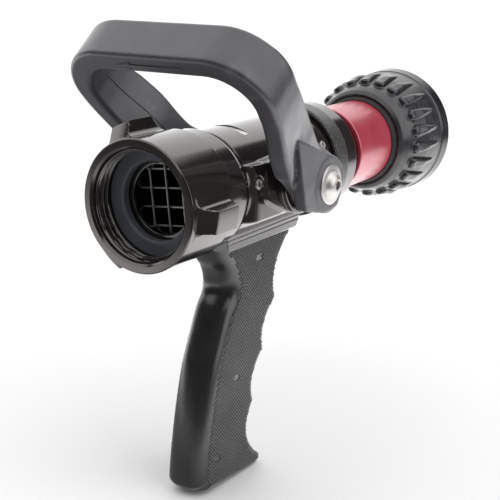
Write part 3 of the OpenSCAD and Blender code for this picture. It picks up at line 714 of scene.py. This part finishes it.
# ---- pistol grip
def smooth_line(points, per=6):
    """A smooth curve through points."""
    p = np.array(points, float)
    p = np.concatenate([[2 * p[0] - p[1]], p, [2 * p[-1] - p[-2]]])
    out = []
    for a, b, c, d in zip(p, p[1:], p[2:], p[3:]):
        for t in np.arange(per) / per:
            out.append(0.5 * ((2 * b) + (c - a) * t + (2 * a - 5 * b + 4 * c - d) * t * t
                              + (3 * b - a - 3 * c + d) * t ** 3))
    return out + [p[-2]]


def finger(a, b, depth):
    """One hollow of the finger grip, from a to b."""
    t = np.linspace(0, 1, 17)[:, None]
    line = np.array(a) * (1 - t) + np.array(b) * t
    line[:, 0] -= depth * np.sin(math.pi * t[:, 0]) ** 0.9
    return list(line)


grip_top = saddle_bottom + 0.2
past_top = grip_top + 20
back_line = smooth_line([(48.5, grip_top), (52, -36.5), (56.8, -42), (59.4, -48), (58.9, -54),
                         (54.3, -60.5), (47.8, -74), (42.2, -87), (37.0, -105), (32.8, -125),
                         (30.4, -141), (30.6, -146), (33, GRIP_BOTTOM + 3.2)])
ridges = [(110.6, -33.5), (98.4, -64.6), (87, -89.2), (78, -114.4), (81.0, -144.2)]
front_line = [(111, past_top), (111, grip_top), (111, -32.5)]
for top_ridge, next_ridge, depth in zip(ridges, ridges[1:], (6.4, 5.2, 5.2, 7.6)):
    front_line += finger(top_ridge, next_ridge, depth)
front_line += smooth_line([(82.2, -144.9), (84, -146.8), (83.6, -149.2), (81, -150.7),
                           (76, GRIP_BOTTOM + 0.2)])
ahead_of_back = Outline(back_line + [(33, -170), (150, -170), (150, past_top), (48.5, past_top)])
behind_front = Outline(front_line + [(76, GRIP_BOTTOM), (33, GRIP_BOTTOM + 3.4), (20, GRIP_BOTTOM + 4),
                                     (20, past_top)])
BACK_DEPTH = 8.5
SQUARE = 2.5
tang_slot = Outline([(71.8, -52.5), (96.2, -52.5), (96.2, 10), (71.8, 10)])


def grip_field(p):
    """The grip: a rounded back of superellipse section, a fingered front, and the saddle tang's slot."""
    x, y, z = p[:, 0], p[:, 1], p[:, 2]
    side = np.abs(y)
    deep = BACK_DEPTH + ahead_of_back(x, z)
    u = np.maximum(deep, 0)
    a, b = u / BACK_DEPTH, side / GRIP_HALF
    k0 = np.maximum(a ** SQUARE + b ** SQUARE, 1e-9) ** (1 / SQUARE)
    k1 = np.hypot(a ** (SQUARE - 1) / BACK_DEPTH, b ** (SQUARE - 1) / GRIP_HALF)
    back = np.where(deep > 0, k0 ** (SQUARE - 1) * (k0 - 1) / np.maximum(k1, 1e-6), side - GRIP_HALF)
    front = both(behind_front(x, z), side - GRIP_HALF, 1.8)
    shape = smooth_max(back, front, 0.3)
    shape = np.maximum(shape, z - grip_top)
    slot = np.maximum(tang_slot(x, z), side - 4.1)
    return np.maximum(shape, -slot)


verts, quads, normals = surface(grip_field, (24, -13, GRIP_BOTTOM - 2), (118, 13, grip_top + 2.2), 0.55)
piece("grip_moulding", (verts, quads), "grip_polymer", "valve_body", ["pistol_grip"], 40)


def grip_dots():
    """Low domes in staggered rows over both sides, with three smooth pads left among them."""
    step_x, step_z = 1.7, 1.0
    xs, zs = np.meshgrid(np.arange(28, 114, step_x), np.arange(GRIP_BOTTOM, grip_top, step_z),
                         indexing="ij")
    xs = xs + (np.round((zs - GRIP_BOTTOM) / step_z) % 2) * step_x / 2
    xs, zs = xs.ravel(), zs.ravel()
    keep = (ahead_of_back(xs, zs) < -6.0) & (behind_front(xs, zs) < -2.0)
    for px, pz in ((82, -40), (62, -97), (45, -134)):
        keep &= (np.abs(xs - px) > 2.2) | (np.abs(zs - pz) > 1.9)
    xs, zs = xs[keep], zs[keep]
    n = 8
    angle = circle(n)
    rings = [(0.64, -0.12), (0.60, 0.28), (0.38, 0.60)]
    dome = np.concatenate([np.stack([r * 1.15 * np.cos(angle), np.full(n, h), r * 0.85 * np.sin(angle)], 1)
                           for r, h in rings] + [[[0, -0.12, 0]], [[0, 0.68, 0]]])
    parts = []
    for sign in (-1, 1):
        rounding = share(1 + ahead_of_back(xs, zs) / BACK_DEPTH)
        centre = np.stack([xs, sign * GRIP_HALF * (1 - rounding ** SQUARE) ** (1 / SQUARE), zs], 1)
        shape = dome * (1, sign, 1)
        verts = (centre[:, None, :] + shape[None]).reshape(-1, 3)
        start = (np.arange(len(xs)) * len(dome))[:, None, None]
        parts.append((verts, [(f[None] + start).reshape(-1, f.shape[1])[:, ::-sign]
                              for f in fanned(len(rings), n)]))
    return join_parts(parts)


# the dots take a lighter copy of the grip polymer: painted sheen
piece("grip_dots", grip_dots(), "grip_polymer", "valve_body", finish="grip_dots")

# ---- bail
REACH, BAIL_T, HUB_HALF, HUB_R = 101.0, 10.4, high("bail_washers")[1] + 13.0, 14.0


def arc(cx, cy, r, a0, a1):
    """Points of an arc from a0 to a1 degrees."""
    a = np.radians(np.linspace(a0, a1, 20))
    return list(np.stack([cx + r * np.cos(a), cy + r * np.sin(a)], 1))


corner_r, inner_r = 25.8, 18.0
inner_bar, inner_hub = BAR_HALF - BAIL_T, HUB_HALF - BAIL_T
spread = 0.1056
front = Outline([(-20, REACH - BAIL_T), (-20, REACH)]
                + arc(BAR_HALF - corner_r, REACH - corner_r, corner_r, 90, -6)
                + [(HUB_HALF - 30 * spread, -30), (inner_hub - 30 * spread, -30)]
                + arc(inner_bar - inner_r, REACH - BAIL_T - inner_r, inner_r, -6, 90))
near_edge = smooth_line([(120, -21.4), (74, -21.4), (63, -21.0), (52, -20.6), (40, -20.4), (28, -20.6),
                         (17, -21.3), (8.2, -23.4)], 8)
far_edge = smooth_line([(9.6, 10.2), (18, 6.6), (30, 4.6), (44, 3.6), (56, 1.9), (68, 0.9), (80, 0.9),
                        (120, 0.9)], 8)
foot = [(4, -20.5), (-6.5, -12.4), (-13.9, -1.5), (-8, 11.4), (0, 13.9)]
side_shape = Outline(near_edge + foot + far_edge)


def bail_frame(p):
    """Distance up the legs and across them, in the frame of the leaning bail."""
    x, z = p[:, 0] - HUB_X, p[:, 2]
    return -x * math.sin(LEAN) + z * math.cos(LEAN), x * math.cos(LEAN) + z * math.sin(LEAN)


def draw_in(up):
    """How far the legs draw in towards the body below the bar."""
    return 3.9 * ease((66 - up) / 33)


def bail_field(p):
    """The bail: a bent band with slanting legs, a flat leaf with a valley behind it, and two hubs."""
    s, m = bail_frame(p)
    side = np.abs(p[:, 1])
    hub = np.hypot(s, m)
    band = np.maximum(front(side + draw_in(s), s), 33.2 - side - 3 * np.maximum(s - 35, 0))
    face = HUB_HALF + s * spread * ease((s - 5) / 27)
    depth = share((face - side) / BAIL_T)
    slant = 6.2 * depth * share((90 - s) / 32) * share((m + 13) / 8) * share((s + 12) / 14)
    slant += 8.5 * depth * share((27 - s) / 20) * share((-6 - m) / 6)
    # the leaf's two upper edges, which meet at s = 40.4, m = -7.7
    left = (s - 40.4) * 0.412 - (m + 7.7) * 0.911
    top = (s - 40.4) * 0.497 + (m + 7.7) * 0.867
    valley = 1.2 * share((46 - s) / 12) * share(1 - np.abs(left) / 5)
    outline = side_shape(s, m - slant)
    leg = both(np.maximum(band, side - (face - draw_in(s) - valley)), outline, 2.2)
    plate = HUB_HALF + 0.02 * np.maximum(s, 0)
    leaf = both(both(np.maximum(left, top), side_shape(s, m), 0.8), side - plate, 0.35)
    leaf = np.maximum(np.maximum(leaf, plate - 6 - side), s - 46)
    shape = smooth_min(leg, leaf, 0.3)
    disc = both(hub - HUB_R, np.abs(side - (HUB_HALF + 33) / 2) - (HUB_HALF - 33) / 2, 1.0)
    shape = either(shape, disc, 1.0)
    square = np.maximum(np.maximum(np.abs(p[:, 0] - HUB_X), np.abs(p[:, 2])) - 4.6, side - 41.9)
    shape = np.maximum(shape, -square)
    return np.maximum(shape, -np.maximum(hub - 3.05, 30 - side))


verts, quads, normals = surface(bail_field, (-1, -56, -28), (112, 56, 80), 0.75)
piece("bail_moulding", (verts, quads), "bail_polymer", "bail", ["bail_handle"], 45)


def parting_line():
    """The moulding's seam, a fine ridge along the inner faces of the two legs."""
    parts = []
    for sign in (-1, 1):
        path = []
        line = smooth_line([(78, -9.8), (72, -8.9), (60, -7.0), (46, -4.8), (32, -2.9), (18, -1.2)])
        for up, across in line:
            bend = max(0.0, up - (REACH - BAIL_T - inner_r))
            bent = inner_r - math.sqrt(max(inner_r ** 2 - bend ** 2, 0))
            y = inner_hub + up * spread - bent - draw_in(up)
            path.append((HUB_X - up * math.sin(LEAN) + across * math.cos(LEAN), sign * y,
                         up * math.cos(LEAN) + across * math.sin(LEAN)))
        parts.append(tube(path, 0.16))
    return join_parts(parts)


def tube(path, r, n=8):
    """A thin closed tube along a path of points."""
    path = np.asarray(path, float)
    along = np.gradient(path, axis=0)
    along /= np.linalg.norm(along, axis=1)[:, None]
    side = np.cross(along, [math.cos(LEAN), 0, math.sin(LEAN)])
    side /= np.linalg.norm(side, axis=1)[:, None]
    up = np.cross(side, along)
    angle = circle(n)
    verts = (path[:, None, :] + r * (np.cos(angle)[None, :, None] * side[:, None, :]
                                     + np.sin(angle)[None, :, None] * up[:, None, :])).reshape(-1, 3)
    first = np.arange(n)[None, :]
    return verts, [grid_faces(len(path), n, False)[:, ::-1], first, (first + (len(path) - 1) * n)[:, ::-1]]


piece("bail_seam", parting_line(), "bail_polymer", "bail")


def bail_arrow():
    """A plain raised arrow on the bar's rear face, pointing across it."""
    middle, shaft, head = REACH - 6.0, 0.7, 1.9
    outline = fillet([(-16, middle - shaft), (11, middle - shaft), (11, middle - head), (18.5, middle, 0.2),
                      (11, middle + head), (11, middle + shaft), (-16, middle + shaft)], 0.15)
    lean = Matrix.Translation((HUB_X, 0, 0)) @ Matrix.Rotation(-LEAN, 4, "Y")
    return moved(prism(outline, -22.0, -21.0, 0.2), lean)


piece("bail_arrow", bail_arrow(), "bail_polymer", "bail")


def bail_bolt():
    """Flanged button screw about +X, its head towards -X."""
    rings = [(-1.6, (0.2, 0)), (-1.8, (0.93, 0)), (-2.0, (1, 0)), (-4.3, (1, 0)), (-4.5, (1, 0.2)),
             (-4.6, 3.0), (-4.45, 3.6), (-4.1, 4.3), (-3.55, 5.0), (-2.8, 5.6), (-1.9, 6.15), (-1.5, 6.5),
             (-1.33, 7.0), (-1.25, 8.2), (-1.15, 9.2), (-0.95, 9.55), (-0.6, 9.7), (0.0, 9.65), (0.0, 3.0),
             (12.0, 3.0)]
    return socket_head(rings, 2.35, -1.6, 12.0, 96)


bolts = [moved(bail_bolt(), facing((HUB_X, sign * HUB_HALF, 0), (0, -sign, 0))) for sign in (-1, 1)]
piece("bail_button_screws", join_parts(bolts), "stainless", "bail", ["bail_bolts"], 30)

# ---- flow ring, sleeves and stop ring
piece("flow_ring_rim",
      turned([(FLOW_X0, 27.6, 0.3), (FLOW_X0, FLOW_R - 0.9, 0.5), (FLOW_X0 + 0.9, FLOW_R, 0.5),
              (FLOW_STEP - 0.2, FLOW_R, 0.3), (FLOW_STEP, FLOW_R - 0.6, 0.1), (FLOW_STEP, 26),
              (FLOW_X1 - 1, 26), (FLOW_X1 - 1, 19.6), (BODY_END + 0.5, 19.6), (BODY_END + 0.5, 27.1),
              (FLOW_X0 + 0.4, 27.1)]),
      "flow_ring_grey", "flow_ring", ["flow_ring"])
piece("flow_ring_gloss",
      turned([(FLOW_STEP, 26.05), (FLOW_STEP, FLOW_R - 0.7), (FLOW_STEP + 0.3, FLOW_R - 0.55),
              (FLOW_X1 - 1.0, FLOW_R - 0.6, 0.5), (FLOW_X1, FLOW_R - 1.6, 0.4), (FLOW_X1, 22),
              (FLOW_X1 - 1, 22), (FLOW_X1 - 1, 26.05)]),
      "black_anodised", "flow_ring", ["flow_ring_band"])
# the guide tube in the darker red: painted shade in the groove behind the red sleeve
piece("guide_tube", turned([(150, 19.5), (150, 20.8), (150.3, 21.0), (196, 21.0), (196, 19.5)], 160, 0.1),
      "red_dark", "valve_body", ["guide_sleeve"])
sleeve_front = TIP_X - 10.5
piece("red_sleeve",
      turned([(SLEEVE_X0, 21.15), (SLEEVE_X0, SLEEVE_R - 0.35, 0.25), (SLEEVE_X0 + 0.5, SLEEVE_R, 0.35),
              (sleeve_front, SLEEVE_R), (sleeve_front, 22.4), (249, 22.4), (249, 20.6), (232, 20.6),
              (231.6, 21.15)]),
      "red_anodised", "pattern_sleeve", ["pattern_sleeve"])
piece("stop_ring",
      turned([(STOP_X0, SLEEVE_R), (STOP_X0, STOP_R - 1.6, 0.4), (STOP_X0 + 2.6, STOP_R - 0.1, 0.3),
              (206.5, STOP_R - 0.1), (206.5, SLEEVE_R)]),
      "stop_ring_brown", "pattern_sleeve", ["bumper_stop_ring"])

# ---- rubber bumper
LUGS = 22
LUG_PHASE = math.radians(62)
bumper_outline = Outline(fillet([(206.5, 23.3, 0), (206.5, 25.5, 0), (204.6, 25.5, 0.3), (204.6, 26.6, 0.8),
                                 (206.4, 28.7, 2.5), (210.5, 30.5, 4), (216, 32.0, 8), (228, 34.2, 8),
                                 (243.3, 35.85, 0.3), (243.9, 36.3, 0.4), (250.6, BUMPER_R, 1.4),
                                 (TIP_X, BUMPER_R - 1.2, 0.8), (TIP_X, 29.2, 1.0), (TIP_X - 2.2, 27.2, 0.8),
                                 (242, 27.2, 0), (242, 23.3, 0)], steps=5), 0.2)


def bumper_field(p):
    """The bumper's skin with its ring of teardrop lugs, each a round head and a tail that runs forward."""
    x = p[:, 0]
    r = np.hypot(p[:, 1], p[:, 2])
    angle = np.arctan2(-p[:, 1], p[:, 2]) - LUG_PHASE
    pitch = 2 * math.pi / LUGS
    angle = np.mod(angle + pitch / 2, pitch) - pitch / 2
    across, out = np.hypot(r * np.sin(angle), 0.6) - 0.6, r * np.cos(angle)
    body = bumper_outline(x, r)
    head_x, head_r, tail_x, tail_r = 216.2, 2.8, 239.5, 0.4
    length = tail_x - head_x
    slope = (head_r - tail_r) / length
    fall = math.sqrt(1 - slope * slope)
    px = x - head_x
    k = px * fall - across * slope
    plan = np.where(k < 0, np.hypot(px, across) - head_r,
                    np.where(k > length * fall, np.hypot(px - length, across) - tail_r,
                             across * fall + px * slope - head_r))
    crown = 34.5 + 2.1 * ease((x - 214) / 13) - 0.006 * np.clip(x - 229, 0, 20) ** 2
    lug = both(plan, out - crown, 1.8)
    lug = np.maximum(lug, 27 - out)
    return either(body, lug, 0.5)


verts, quads, normals = surface(bumper_field, (203, -39, -39), (254, 39, 39), 0.5)
piece("bumper_moulding", (verts, quads), "bumper_rubber", "pattern_sleeve", ["rubber_bumper"], 50)

piece("bumper_rim", turned([(243.9, 35.6), (243.9, 36.42, 0.3), (250.5, BUMPER_R + 0.06, 1.2),
                            (TIP_X - 0.5, BUMPER_R - 0.6, 0.5), (TIP_X - 0.5, 35.6)]),
      "bumper_rubber", "pattern_sleeve", finish="bumper_gloss")

# ---- floor, light, camera
floor_mesh = bpy.data.meshes.new("floor")
size, level = 14.0, GRIP_BOTTOM * MM - 0.0002
corners = [(-size, -size, level), (size, -size, level), (size, size, level), (-size, size, level)]
floor_mesh.from_pydata(corners, [], [(0, 1, 2, 3)])
floor = bpy.data.objects.new("floor", floor_mesh)
bpy.context.scene.collection.objects.link(floor)
pale = bpy.data.materials.new("pale_floor")
pale.use_nodes = True
tree = pale.node_tree
paint = tree.nodes["Principled BSDF"]
paint.inputs["Base Color"].default_value = (0.63, 0.63, 0.63, 1)
paint.inputs["Roughness"].default_value = 0.7
glow = tree.nodes.new("ShaderNodeEmission")


def shader_math(operation, first, second=None):
    """A maths node in the tree that is being built."""
    node = tree.nodes.new("ShaderNodeMath")
    node.operation = operation
    for socket, value in zip(node.inputs, (first, second)):
        if isinstance(value, (int, float)):
            socket.default_value = value
        elif value is not None:
            tree.links.new(value, socket)
    return node.outputs[0]


def ramp(value, a, b):
    """A smooth step from 0 at a to 1 at b."""
    node = tree.nodes.new("ShaderNodeMapRange")
    node.interpolation_type = "SMOOTHSTEP"
    node.inputs["From Min"].default_value = a
    node.inputs["From Max"].default_value = b
    tree.links.new(value, node.inputs["Value"])
    return node.outputs["Result"]


def components(space):
    """The three components of a texture coordinate."""
    split = tree.nodes.new("ShaderNodeSeparateXYZ")
    tree.links.new(tree.nodes.new("ShaderNodeTexCoord").outputs[space], split.inputs[0])
    return split.outputs


floor_x, floor_y = components("Object")[:2]


def times(first, second):
    return shader_math("MULTIPLY", first, second)


def plus(first, second):
    return shader_math("ADD", first, second)


def vector_length(first, second):
    """Length of the vector with these two components."""
    return shader_math("SQRT", plus(times(first, first), times(second, second)))


# what the object sees of the floor glows in front of it, and less in a round patch beside it: a painted
# shadow of the object in the glow
forward = plus(times(floor_x, 0.84), times(floor_y, 0.545))
shadow_patch_distance = vector_length(shader_math("SUBTRACT", floor_x, 0.02), shader_math("SUBTRACT", floor_y, 0.15))
lit = times(ramp(forward, -0.24, -0.10), ramp(floor_y, -0.60, -0.20))
lit = times(lit, plus(0.2, times(ramp(shadow_patch_distance, 0.14, 0.30), 0.8)))
tree.links.new(shader_math("MAXIMUM", times(lit, 2.6), 0.15), glow.inputs["Strength"])
choose = tree.nodes.new("ShaderNodeMixShader")
tree.links.new(tree.nodes.new("ShaderNodeLightPath").outputs["Is Camera Ray"], choose.inputs[0])
tree.links.new(glow.outputs[0], choose.inputs[1])
tree.links.new(paint.outputs[0], choose.inputs[2])
tree.links.new(choose.outputs[0], tree.nodes["Material Output"].inputs["Surface"])
floor_mesh.materials.append(pale)

world = bpy.data.worlds.new("studio")
bpy.context.scene.world = world
world.use_nodes = True
tree = world.node_tree
background = tree.nodes["Background"]
x_dir, y_dir, z_dir = components("Generated")
level_part = shader_math("MAXIMUM", vector_length(x_dir, y_dir), 0.001)


def panel(heading, outer, inner, strength):
    """A soft upright light panel round a compass heading, full within inner degrees and gone at outer."""
    a, gone, full = (math.radians(angle) for angle in (heading, outer, inner))
    dot = plus(times(x_dir, math.cos(a)), times(y_dir, math.sin(a)))
    edge = ramp(shader_math("DIVIDE", dot, level_part), math.cos(gone), math.cos(full))
    return times(edge, strength)


overhead = times(ramp(z_dir, 0.55, 0.66), 1.85)
backdrop = panel(48, 56, 50, 1.9)
side_light = times(panel(-82, 43, 30, 2.45), ramp(z_dir, -0.15, 0.0))
light = shader_math("MAXIMUM", shader_math("MAXIMUM", overhead, backdrop),
                    shader_math("MAXIMUM", side_light, 0.07))
seen = tree.nodes.new("ShaderNodeLightPath").outputs["Is Camera Ray"]
light = plus(times(light, shader_math("SUBTRACT", 1.0, seen)), times(seen, 0.9))
tree.links.new(light, background.inputs["Strength"])
background.inputs["Color"].default_value = (1, 1, 1, 1)

yaw, pitch, roll = math.radians(32.80), math.radians(15.53), math.radians(0.39)
ahead = Vector((math.cos(yaw) * math.cos(pitch), math.sin(yaw) * math.cos(pitch), -math.sin(pitch)))
right_dir = ahead.cross(Vector((0, 0, 1))).normalized()
up_dir = right_dir.cross(ahead)
right_tilted = right_dir * math.cos(roll) + up_dir * math.sin(roll)
up_tilted = up_dir * math.cos(roll) - right_dir * math.sin(roll)
camera_data = bpy.data.cameras.new("camera")
camera_data.sensor_fit = "HORIZONTAL"
camera_data.sensor_width = 36
camera_data.lens = 80.1
camera_data.clip_start = 0.01
camera = bpy.data.objects.new("camera", camera_data)
bpy.context.scene.collection.objects.link(camera)
pose = Matrix((right_tilted, up_tilted, -ahead)).transposed().to_4x4()
pose.translation = Vector((-0.3661, -0.2944, 0.1111))
camera.matrix_world = pose
bpy.context.scene.camera = camera
bpy.context.scene.view_settings.view_transform = "Standard"
